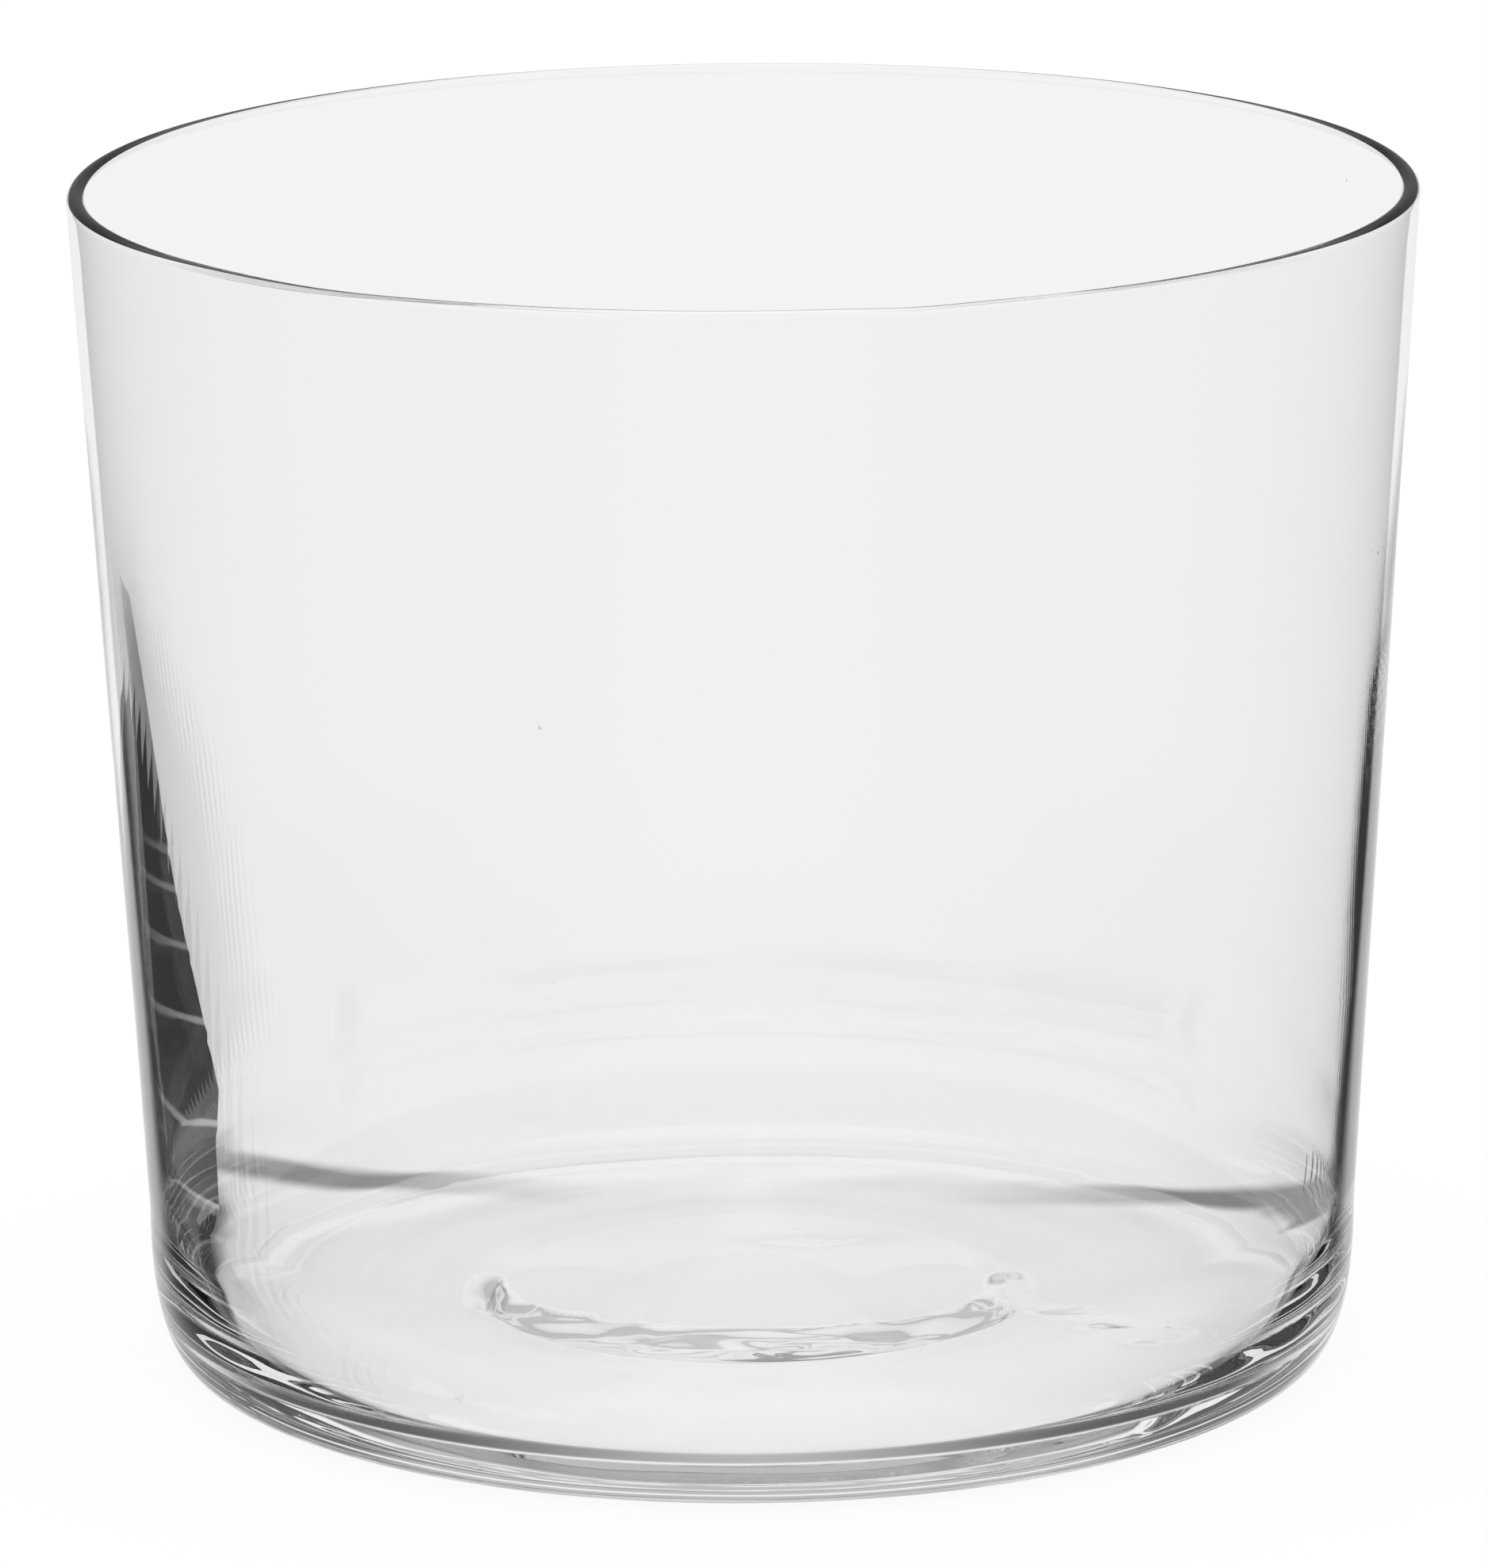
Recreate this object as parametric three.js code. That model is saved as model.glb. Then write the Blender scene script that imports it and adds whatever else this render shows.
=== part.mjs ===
// Water glass: a low, wide tumbler of clear glass, formed in one piece.
// Its half section is one closed outline that starts and ends on the axis and is turned once about it.
// Millimetres, +Z up, origin at the centre of the foot.
import * as THREE from 'three';

// Overall form
const HEIGHT = 80;
const RIM_DIAMETER = 90;
const HEEL_DIAMETER = 82; // outside, where the straight wall runs into the rounded heel

// Wall and melted rim
const BODY_WALL = 1.0;
const RIM_WALL = 1.25; // the flame that rounds the cut edge gathers a little more glass there
const BEAD_LENGTH = 9; // height over which the wall thickens into that bead

// Outer heel and foot
const HEEL_HEIGHT = 10;
const HEEL_REACH = 3; // how far the heel draws in from the wall to the foot
const HEEL_FULLNESS = 2.4; // exponent of the heel's superellipse, where 2 is a plain ellipse
const FOOT_RING_WIDTH = 2; // flat ring that the glass stands on

// Hollow underside
const PUNT_DEPTH = 0.6; // rise of the underside from the foot ring to the centre
const CHILL_MARK_DIAMETER = 35; // round print of the mould's bottom plate
const CHILL_MARK_HEIGHT = 0.28; // how far the print stands down into the hollow
const CHILL_MARK_EDGE = 6; // width of the soft slope round the print

// Inside of the base
const BASE_THICKNESS = 3.7; // at the centre, from the underside to the floor
const FLOOR_CROWN = 1.2; // how much higher the floor's centre is than its edge
const INNER_HEEL_RISE = 10.5; // the inside follows the outer heel, so the wall stays thin round it
const INNER_HEEL_REACH = 3;

// Facets
const TURN_STEPS = 80;
const HEEL_STEPS = 10;
const WALL_STEPS = 6;
const BEAD_STEPS = 4;
const RIM_STEPS = 6;
const INNER_HEEL_STEPS = 10;
const FLOOR_STEPS = 4;
const PRINT_STEPS = 2;
const PRINT_EDGE_STEPS = 4;
const PUNT_STEPS = 4;

// Values that follow from the sizes above
const rimRadius = RIM_DIAMETER / 2;
const heelRadius = HEEL_DIAMETER / 2;
const footRadius = heelRadius - HEEL_REACH;
const ringInnerRadius = footRadius - FOOT_RING_WIDTH;
const printRadius = CHILL_MARK_DIAMETER / 2;
const floorCentreHeight = PUNT_DEPTH - CHILL_MARK_HEIGHT + BASE_THICKNESS;
const floorEdgeHeight = floorCentreHeight - FLOOR_CROWN;
const innerHeelTop = floorEdgeHeight + INNER_HEEL_RISE;
const rimCentreHeight = HEIGHT - RIM_WALL / 2;

const at = (radius, height) => new THREE.Vector2(radius, height);

// Points of one stretch of the outline, without its last point, which starts the next stretch.
const stretch = (steps, pointAt) =>
  Array.from({ length: steps }, (_, index) => pointAt(index / steps));

const between = (from, to, share) => from + (to - from) * share;

// The outer wall is a plain cone from the heel to the rim.
const outerRadiusAt = (height) =>
  between(heelRadius, rimRadius, (height - HEEL_HEIGHT) / (rimCentreHeight - HEEL_HEIGHT));

// The wall keeps one thickness up to the bead, then eases to the rim's thickness.
const wallAt = (height) => {
  const share = (height - (rimCentreHeight - BEAD_LENGTH)) / BEAD_LENGTH;
  return between(BODY_WALL, RIM_WALL, THREE.MathUtils.smoothstep(share, 0, 1));
};

const innerRadiusAt = (height) => outerRadiusAt(height) - wallAt(height);

// The underside is a shallow bowl that meets the foot ring. The print stands down into it with a soft slope.
const undersideAt = (radius) => {
  const bowl = PUNT_DEPTH * (1 - (radius / ringInnerRadius) ** 2);
  const print = THREE.MathUtils.smoothstep((printRadius - radius) / CHILL_MARK_EDGE, 0, 1);
  return bowl - CHILL_MARK_HEIGHT * print;
};

function underside() {
  const printFloorRadius = printRadius - CHILL_MARK_EDGE;
  const along = (from, to) => (share) => {
    const radius = between(from, to, share);
    return at(radius, undersideAt(radius));
  };
  return [
    ...stretch(PRINT_STEPS, along(0, printFloorRadius)),
    ...stretch(PRINT_EDGE_STEPS, along(printFloorRadius, printRadius)),
    ...stretch(PUNT_STEPS, along(printRadius, ringInnerRadius)),
    at(ringInnerRadius, 0),
  ];
}

// The heel is a quarter of a superellipse, from the foot's edge up to the wall.
function outerHeel() {
  const power = 2 / HEEL_FULLNESS;
  return stretch(HEEL_STEPS, (share) => {
    const angle = (share * Math.PI) / 2;
    const radius = footRadius + HEEL_REACH * Math.sin(angle) ** power;
    return at(radius, HEEL_HEIGHT * (1 - Math.cos(angle) ** power));
  });
}

function outerWall() {
  return stretch(WALL_STEPS, (share) => {
    const height = between(HEEL_HEIGHT, rimCentreHeight, share);
    return at(outerRadiusAt(height), height);
  });
}

// The rim is half a circle as wide as the wall is there.
function rim() {
  const radius = RIM_WALL / 2;
  return stretch(RIM_STEPS, (share) => {
    const angle = share * Math.PI;
    return at(rimRadius - radius + radius * Math.cos(angle), rimCentreHeight + radius * Math.sin(angle));
  });
}

function innerWall() {
  const beadFoot = rimCentreHeight - BEAD_LENGTH;
  const along = (from, to) => (share) => {
    const height = between(from, to, share);
    return at(innerRadiusAt(height), height);
  };
  return [
    ...stretch(BEAD_STEPS, along(rimCentreHeight, beadFoot)),
    ...stretch(WALL_STEPS, along(beadFoot, innerHeelTop)),
  ];
}

// Inside, the wall runs into the floor through a quarter of an ellipse.
function innerHeel() {
  const floorRadius = innerRadiusAt(innerHeelTop) - INNER_HEEL_REACH;
  return stretch(INNER_HEEL_STEPS, (share) => {
    const angle = (share * Math.PI) / 2;
    const radius = floorRadius + INNER_HEEL_REACH * Math.cos(angle);
    return at(radius, innerHeelTop - INNER_HEEL_RISE * Math.sin(angle));
  });
}

// The floor swells gently towards the axis, as a shallow dome.
function floor() {
  const floorRadius = innerRadiusAt(innerHeelTop) - INNER_HEEL_REACH;
  const swell = (share) =>
    at(floorRadius * (1 - share), floorEdgeHeight + FLOOR_CROWN * (1 - (1 - share) ** 2));
  return [...stretch(FLOOR_STEPS, swell), at(0, floorCentreHeight)];
}

const outline = [
  ...underside(),
  ...outerHeel(),
  ...outerWall(),
  ...rim(),
  ...innerWall(),
  ...innerHeel(),
  ...floor(),
];

const clearGlass = new THREE.MeshStandardMaterial({
  color: 0xf1f3f3,
  roughness: 0.03,
  metalness: 0,
  transparent: true,
  opacity: 0.35,
});

// A lathe turns its outline about Y, so the form is stood up along Z.
const geometry = new THREE.LatheGeometry(outline, TURN_STEPS);
geometry.rotateX(Math.PI / 2);

const tumbler = new THREE.Mesh(geometry, clearGlass);
tumbler.name = 'tumbler';

const waterGlass = new THREE.Group();
waterGlass.add(tumbler);

export default waterGlass;
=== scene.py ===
# %% [markdown]
# # A water glass
# You will dress a low, wide tumbler of clear glass. It is one piece: a machine blows or presses a gob of
# molten glass in a mould, cuts the top off, and rounds the cut with a flame. So there is one solid to dress,
# and the work is in its half section, in the small marks that the making leaves, and in light that shows
# clear glass at all.

# %% [markdown]
# ## The frame
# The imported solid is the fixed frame. It gives the height, the width of the rim and the place of the glass,
# and everything below is fitted to it. All lengths are metres in Blender, so sizes are written in
# millimetres times MM.

import bpy
import numpy as np
from mathutils import Matrix, Vector


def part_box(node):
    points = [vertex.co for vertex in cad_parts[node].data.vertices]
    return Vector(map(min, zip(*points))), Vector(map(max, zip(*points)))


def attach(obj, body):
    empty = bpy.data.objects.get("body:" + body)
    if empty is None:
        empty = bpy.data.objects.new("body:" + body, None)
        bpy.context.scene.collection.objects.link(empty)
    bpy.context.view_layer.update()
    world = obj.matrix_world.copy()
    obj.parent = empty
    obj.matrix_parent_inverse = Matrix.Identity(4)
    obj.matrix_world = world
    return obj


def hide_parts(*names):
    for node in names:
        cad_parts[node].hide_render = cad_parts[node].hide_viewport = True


MM = 0.001
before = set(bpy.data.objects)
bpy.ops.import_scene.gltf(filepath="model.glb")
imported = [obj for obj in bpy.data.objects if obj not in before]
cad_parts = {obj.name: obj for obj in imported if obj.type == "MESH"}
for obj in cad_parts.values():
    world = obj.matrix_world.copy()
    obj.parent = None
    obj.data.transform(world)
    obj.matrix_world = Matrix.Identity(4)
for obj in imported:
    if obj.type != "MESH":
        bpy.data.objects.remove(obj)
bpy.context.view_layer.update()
node_low, node_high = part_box("tumbler")
RIM_RADIUS = (node_high.x - node_low.x) / 2
HEIGHT = node_high.z
print(f"frame: rim {2 * RIM_RADIUS / MM:.1f} mm across, {HEIGHT / MM:.1f} mm high")

# %% [markdown]
# ## The half section
# A turned object is known once half of its section is known. This one runs from the axis under the base,
# across the hollow underside to the foot ring, round the heel, up the straight wall, over the rim and back
# down inside. Its sizes are the ones of the solid, apart from the chill mark under the base, which gets a
# freer shape further down. The wall is only a millimetre thick, and it stays thin round the heel.

# %% Sizes of the section
HEEL_RADIUS = 41.0 * MM
HEEL_HEIGHT = 10.0 * MM
HEEL_REACH = 3.0 * MM
HEEL_FULLNESS = 2.4
FOOT_RING_WIDTH = 2.0 * MM
BODY_WALL = 1.0 * MM
RIM_WALL = 1.25 * MM
BEAD_LENGTH = 9.0 * MM
PUNT_DEPTH = 0.6 * MM
CHILL_MARK_HEIGHT = 0.28 * MM
BASE_THICKNESS = 3.7 * MM
FLOOR_CROWN = 1.2 * MM
INNER_HEEL_RISE = 10.5 * MM
INNER_HEEL_REACH = 3.0 * MM

FOOT_RADIUS = HEEL_RADIUS - HEEL_REACH
RING_INNER = FOOT_RADIUS - FOOT_RING_WIDTH
FLOOR_CENTRE = PUNT_DEPTH - CHILL_MARK_HEIGHT + BASE_THICKNESS
FLOOR_EDGE = FLOOR_CENTRE - FLOOR_CROWN
INNER_HEEL_TOP = FLOOR_EDGE + INNER_HEEL_RISE
RIM_CENTRE = HEIGHT - RIM_WALL / 2


def ease(x):
    """Smooth step: 3x^2 - 2x^3 between 0 and 1, flat outside."""
    x = np.clip(x, 0.0, 1.0)
    return x * x * (3.0 - 2.0 * x)


def outer_radius(z):
    """Cone: the radius grows evenly from the heel to the rim."""
    return HEEL_RADIUS + (RIM_RADIUS - HEEL_RADIUS) * (z - HEEL_HEIGHT) / (RIM_CENTRE - HEEL_HEIGHT)


def wall(z):
    """Wall thickness: even up to the bead, then easing to the rim's thickness."""
    return BODY_WALL + (RIM_WALL - BODY_WALL) * ease((z - RIM_CENTRE + BEAD_LENGTH) / BEAD_LENGTH)


def underside(r):
    """Height of the hollow underside: a shallow bowl. The chill mark is put on it later."""
    return PUNT_DEPTH * np.clip(1.0 - (r / RING_INNER) ** 2, 0.0, 1.0)


def share(count):
    """Even steps from 0 towards 1, without the 1 that starts the next stretch."""
    return np.arange(count) / count


print(f"foot ring: {2 * RING_INNER / MM:.0f} to {2 * FOOT_RADIUS / MM:.0f} mm across")

# %% [markdown]
# The stretches are sampled as finely as what they carry: close rings under the base for the wrinkles of the
# chill mark and on the lower wall for its fine rings, wide ones up the plain inside. Each ring also keeps
# the number of its stretch, so that a mark can be put on one stretch only.

# %% Points of the section
UNDER, FOOT, HEEL, WALL, RIM, INSIDE, INNER_HEEL, FLOOR = range(8)
FINE_RADIUS = 19.0 * MM
RINGED_TOP = 43.0 * MM
FINE_STEPS = 46
BOWL_STEPS = 30
FOOT_STEPS = 5
HEEL_STEPS = 48
RINGED_STEPS = 104
PLAIN_STEPS = 18
RIM_STEPS = 16
INSIDE_STEPS = 40
INNER_HEEL_STEPS = 34
FLOOR_STEPS = 34


def glass_outline():
    """Half section (r, z, stretch): from the axis under the base, round the outside, over the rim and down
    inside to the axis. The heel is part of a superellipse, the rim half a circle, the inner heel a quarter
    of an ellipse and the floor a parabola."""
    r_fine = FINE_RADIUS * share(FINE_STEPS)
    r_bowl = FINE_RADIUS + (RING_INNER - FINE_RADIUS) * share(BOWL_STEPS)
    r_under = np.concatenate([r_fine, r_bowl])
    r_foot = RING_INNER + FOOT_RING_WIDTH * share(FOOT_STEPS)
    a = share(HEEL_STEPS) * np.pi / 2
    p = 2.0 / HEEL_FULLNESS
    z_ringed = HEEL_HEIGHT + (RINGED_TOP - HEEL_HEIGHT) * share(RINGED_STEPS)
    z_plain = RINGED_TOP + (RIM_CENTRE - RINGED_TOP) * share(PLAIN_STEPS)
    z_wall = np.concatenate([z_ringed, z_plain])
    b = share(RIM_STEPS) * np.pi
    half = RIM_WALL / 2
    z_in = RIM_CENTRE + (INNER_HEEL_TOP - RIM_CENTRE) * share(INSIDE_STEPS)
    c = share(INNER_HEEL_STEPS) * np.pi / 2
    floor_radius = outer_radius(INNER_HEEL_TOP) - wall(INNER_HEEL_TOP) - INNER_HEEL_REACH
    r_inner_heel = floor_radius + INNER_HEEL_REACH * np.cos(c)
    d = share(FLOOR_STEPS)
    stretches = [
        (UNDER, r_under, underside(r_under)),
        (FOOT, r_foot, 0 * r_foot),
        (HEEL, FOOT_RADIUS + HEEL_REACH * np.sin(a) ** p, HEEL_HEIGHT * (1 - np.cos(a) ** p)),
        (WALL, outer_radius(z_wall), z_wall),
        (RIM, RIM_RADIUS - half + half * np.cos(b), RIM_CENTRE + half * np.sin(b)),
        (INSIDE, outer_radius(z_in) - wall(z_in), z_in),
        (INNER_HEEL, r_inner_heel, INNER_HEEL_TOP - INNER_HEEL_RISE * np.sin(c)),
        (FLOOR, floor_radius * (1 - d), FLOOR_EDGE + FLOOR_CROWN * (1 - (1 - d) ** 2)),
        (FLOOR, np.zeros(1), np.full(1, FLOOR_CENTRE)),
    ]
    r = np.concatenate([s[1] for s in stretches])
    z = np.concatenate([s[2] for s in stretches])
    kind = np.concatenate([np.full(len(s[1]), s[0]) for s in stretches])
    return r, z, kind


section_r, section_z, section_kind = glass_outline()
print(f"section: {len(section_r)} points, wall {BODY_WALL / MM:.2f} mm, base {BASE_THICKNESS / MM:.1f} mm")

# %% [markdown]
# ## Marks of the making
# Glass that only a lathe had shaped would look like a computer drawing. Real glass sags, chills and flows.
# Smooth seeded waves stand in for that: a sum of plane waves with mixed directions has no grid and no seam,
# because round the glass it is read in space and not along an unrolled strip.

# %% Seeded waves
rng = np.random.default_rng(7)


def waves(count, shortest, longest):
    """Plane waves for field(): directions on a sphere, wave numbers 2 pi / length and phases."""
    direction = rng.normal(size=(count, 3))
    direction /= np.linalg.norm(direction, axis=1, keepdims=True)
    length = shortest * (longest / shortest) ** rng.random(count)
    return direction * (2 * np.pi / length)[:, None], rng.random(count) * 2 * np.pi


def field(wave_set, x, y, z):
    """Sum of cosines cos(k.p + phase), scaled to a spread near 1."""
    k, phase = wave_set
    total = np.zeros_like(x)
    for (kx, ky, kz), start in zip(k, phase):
        total += np.cos(kx * x + ky * y + kz * z + start)
    return total * np.sqrt(2.0 / len(phase))


# %% [markdown]
# The chill mark is the print of the mould's cold bottom plate. The skin of the glass sets there first and
# wrinkles as the hot glass behind it still moves, so the print sags: it slopes down evenly from its front
# edge to a wavy line near the middle, then rises slowly to the back. A few drops of glass stand out of it,
# and a short tail of wrinkles runs to the right, where the gob first touched.

# %% Sagging print
PRINT_RADIUS = 18.2 * MM
PRINT_SLOPE = 0.046
PRINT_TURN = 0.44
PRINT_TURN_WAVE = 0.07
PRINT_TURN_STRETCH = 0.4
PRINT_ROUNDING = 0.03
PRINT_FADE = 1.5 * MM
SHORTEST_HALF_CHORD = 0.5 * MM
fold_waves = waves(18, 5.0 * MM, 12.0 * MM)


def soft_least(a, b, width):
    """Smaller of two values, rounded over a width where they cross."""
    return (a + b - np.sqrt((a - b) ** 2 + width ** 2)) / 2


def chill_print(x, y):
    """How far the print sags: along each chord from front (0) to back (1) it goes down by PRINT_SLOPE up to
    a wavy turning point, then rises to the back edge."""
    half_chord = np.sqrt(np.clip(PRINT_RADIUS ** 2 - x * x, 0.0, None))
    chord = 2 * np.maximum(half_chord, SHORTEST_HALF_CHORD)
    along = np.clip((y + half_chord) / chord, 0.0, 1.0)
    turn = PRINT_TURN + PRINT_TURN_WAVE * field(fold_waves, x, PRINT_TURN_STRETCH * y, 0 * x)
    back = turn * (1.0 - along) / (1.0 - turn)
    inside = ease((PRINT_RADIUS - np.hypot(x, y)) / PRINT_FADE)
    return PRINT_SLOPE * chord * inside * np.clip(soft_least(along, back, PRINT_ROUNDING), 0.0, None)


print(f"print: {2 * PRINT_RADIUS / MM:.1f} mm across")

# %% Wrinkles, drops and tail
FOLD_HEIGHT = 0.012 * MM
FOLD_INSET = 1.0 * MM
FOLD_FADE = 3.0 * MM
WARP_REACH = 1.5 * MM
TAIL_FOLD_HEIGHT = 0.06 * MM
TAIL_START = np.array([17.0, 2.0]) * MM
TAIL_END = np.array([27.0, -14.0]) * MM
TAIL_WIDTH = 3.0 * MM
DROP_PLACES = np.array([[-16.6, 4.6], [2.0, 13.0], [29.0, -11.0]]) * MM
DROP_SIZES = np.array([[2.2, 4.5], [4.0, 3.0], [2.4, 3.0]]) * MM
DROP_HEIGHTS = np.array([0.36, 0.3, 0.16]) * MM
fine_waves = waves(18, 2.8 * MM, 6.0 * MM)
warp_x = waves(10, 9.0 * MM, 20.0 * MM)
warp_y = waves(10, 9.0 * MM, 20.0 * MM)


def tail_mask(x, y):
    """1 along the line from TAIL_START to TAIL_END, easing to 0 at TAIL_WIDTH from it."""
    line = TAIL_END - TAIL_START
    from_start = (x - TAIL_START[0]) * line[0] + (y - TAIL_START[1]) * line[1]
    t = np.clip(from_start / (line @ line), 0.0, 1.0)
    away = np.hypot(x - TAIL_START[0] - t * line[0], y - TAIL_START[1] - t * line[1])
    return ease(1.0 - away / TAIL_WIDTH)


def chill_folds(x, y):
    """Height of the wrinkles: waves in warped space inside the print, finer ones on its tail, and
    bell-shaped drops that stand down."""
    flat = 0 * x
    u = x + WARP_REACH * field(warp_x, x, y, flat)
    v = y + WARP_REACH * field(warp_y, x, y, flat)
    inside = ease((PRINT_RADIUS - FOLD_INSET - np.hypot(x, y)) / FOLD_FADE)
    total = FOLD_HEIGHT * inside * field(fold_waves, u, v, flat)
    total += TAIL_FOLD_HEIGHT * tail_mask(x, y) * field(fine_waves, u, v, flat)
    for place, size, height in zip(DROP_PLACES, DROP_SIZES, DROP_HEIGHTS):
        total -= height * np.exp(-(((x - place[0]) / size[0]) ** 2) - ((y - place[1]) / size[1]) ** 2)
    return total


print("drops:", len(DROP_HEIGHTS))

# %% [markdown]
# Round the print the underside has a few soft, wide rings, stronger on one side, and one clearer ring near
# the foot at the left.

# %% Soft rings of the underside
RING_HEIGHT = 0.015 * MM
RING_SPACING = 6.5 * MM
RING_PRINT_FADE = 4.0 * MM
RING_FOOT_FADE = 5.0 * MM
RING_UNEVENNESS = 0.5
RING_BEARING = 2.6
EDGE_RING_HEIGHT = 0.12 * MM
EDGE_RING_RADIUS = 33.5 * MM
EDGE_RING_HALF_WIDTH = 1.6 * MM
EDGE_RING_BEARING = np.radians(185.0)


def soft_rings(x, y):
    """Wide, low rings round the print: a cosine of the radius, fading to the foot and into the print, and
    one stronger bell near the foot ring on the left."""
    r = np.hypot(x, y)
    angle = np.arctan2(y, x)
    fade = ease((r - PRINT_RADIUS) / RING_PRINT_FADE) * ease((RING_INNER - r) / RING_FOOT_FADE)
    uneven = 1.0 + RING_UNEVENNESS * np.cos(angle - RING_BEARING)
    edge = EDGE_RING_HEIGHT * np.exp(-(((r - EDGE_RING_RADIUS) / EDGE_RING_HALF_WIDTH) ** 2))
    side = (0.5 + 0.5 * np.cos(angle - EDGE_RING_BEARING)) ** 2
    return RING_HEIGHT * uneven * fade * np.cos(2 * np.pi * r / RING_SPACING) + edge * side


print(f"rings: {RING_SPACING / MM:.1f} mm apart")

# %% [markdown]
# The lower wall carries faint level rings, where the glass stuck to the mould and let go as it sank. They
# are a few thousandths of a millimetre high. The heel and the inside flow in slow waves, and the rim dips a
# little at two places, where the flame dwelt.

# %% Wall, heel and rim
RING_LEVELS = np.array([39.5, 36.0, 32.0, 27.0, 21.0, 15.0, 11.0, 8.0, 5.0]) * MM
RING_RISE = 0.002 * MM
RING_HALF_WIDTH = 0.3 * MM
RING_WANDER = 0.25 * MM
WALL_WAVE = 0.012 * MM
HEEL_WAVE = 0.003 * MM
FLOOR_WAVE = 0.02 * MM
RIM_DIP = 0.12 * MM
RIM_DIP_ANGLES = np.radians([233.0, 284.0])
RIM_DIP_SPREAD = np.radians([9.0, 5.0])
wander_waves = waves(12, 25.0 * MM, 60.0 * MM)
outer_waves = waves(16, 14.0 * MM, 45.0 * MM)
inner_waves = waves(16, 14.0 * MM, 45.0 * MM)
heel_waves = waves(20, 6.0 * MM, 16.0 * MM)
floor_waves = waves(16, 9.0 * MM, 25.0 * MM)


def wall_rings(x, y, z):
    """Sum of bells exp(-(z - level)^2 / width^2) whose level and height wander round the glass."""
    drift = field(wander_waves, x, y, 0 * z)
    total = np.zeros_like(z)
    for number, level in enumerate(RING_LEVELS):
        height = RING_RISE * (0.7 + 0.3 * np.sin(2.0 * number + 3.0 * drift))
        offset = RING_WANDER * np.sin(1.7 * number + 2.0 * drift)
        total += height * np.exp(-(((z - level - offset) / RING_HALF_WIDTH) ** 2))
    return total


def rim_dips(angle):
    """How far the rim sinks: a bell at each dip, measured round the rim."""
    total = np.zeros_like(angle)
    for middle, spread in zip(RIM_DIP_ANGLES, RIM_DIP_SPREAD):
        away = np.angle(np.exp(1j * (angle - middle)))
        total += RIM_DIP * np.exp(-((away / spread) ** 2))
    return total


print("wall:", len(RING_LEVELS), "rings, rim:", len(RIM_DIP_ANGLES), "dips")

# %% [markdown]
# ## Turning the section
# The section is turned in even steps, and each point is then moved by the marks of its stretch: the wall
# and the heel outwards or inwards, the underside and the floor up or down. The marks fade out near the rim,
# and the rim only dips, so the glass stays inside the solid's box.

# %% Turn and mark
TURN = 256
RIM_FADE = 8.0 * MM
FOOT_FADE = 2.0 * MM
HEEL_FLOW_TOP = 15.0 * MM
HEEL_FLOW_FADE = 6.0 * MM
HEEL_FLOW_OUTSIDE = 0.5
DEEPEST_SAG = 0.9


def marked_grid(r, z, kind):
    """Points of the turned section (x, y, z), moved along the radius or the height by the marks of each
    stretch. The underside sags by at most DEEPEST_SAG of its height, so it never reaches the table."""
    t = np.arange(TURN) * 2 * np.pi / TURN
    r = np.repeat(r[:, None], TURN, 1)
    z = np.repeat(z[:, None], TURN, 1)
    kind = np.repeat(kind[:, None], TURN, 1)
    x = r * np.cos(t)
    y = r * np.sin(t)
    body = ease((RIM_CENTRE - z) / RIM_FADE)
    off_foot = ease(z / FOOT_FADE)
    low_part = ease((HEEL_FLOW_TOP - z) / HEEL_FLOW_FADE) * off_foot
    outer = np.isin(kind, (HEEL, WALL))
    inner = np.isin(kind, (INSIDE, INNER_HEEL))
    heel_flow = HEEL_WAVE * low_part * field(heel_waves, x, y, z)
    out_move = WALL_WAVE * body * field(outer_waves, x, y, z) + wall_rings(x, y, z)
    out_move = out_move + HEEL_FLOW_OUTSIDE * heel_flow
    in_move = WALL_WAVE * body * field(inner_waves, x, y, z) + heel_flow
    r = r + np.where(outer, out_move * off_foot, 0.0) + np.where(inner, in_move, 0.0)
    on_floor = FLOOR_WAVE * field(floor_waves, x, y, 0 * z)
    marks = chill_folds(x, y) + soft_rings(x, y) - chill_print(x, y)
    z = z + np.where(kind == UNDER, np.maximum(marks, -DEEPEST_SAG * z), 0.0)
    z = z + np.where(kind == FLOOR, on_floor, 0.0)
    top = ease((z - RIM_CENTRE + BEAD_LENGTH) / BEAD_LENGTH)
    z = z - top * rim_dips(np.repeat(t[None, :], len(r), 0))
    return np.stack([r * np.cos(t), r * np.sin(t), z], -1)


glass_grid = marked_grid(section_r, section_z, section_kind)
print(f"grid: {glass_grid.shape[0]} rings of {TURN}, top at {glass_grid[..., 2].max() / MM:.2f} mm")

# %% [markdown]
# Both ends of the section lie on the axis. Each becomes a single point, so the skin is closed, and the
# faces run so that they point outwards.

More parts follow.
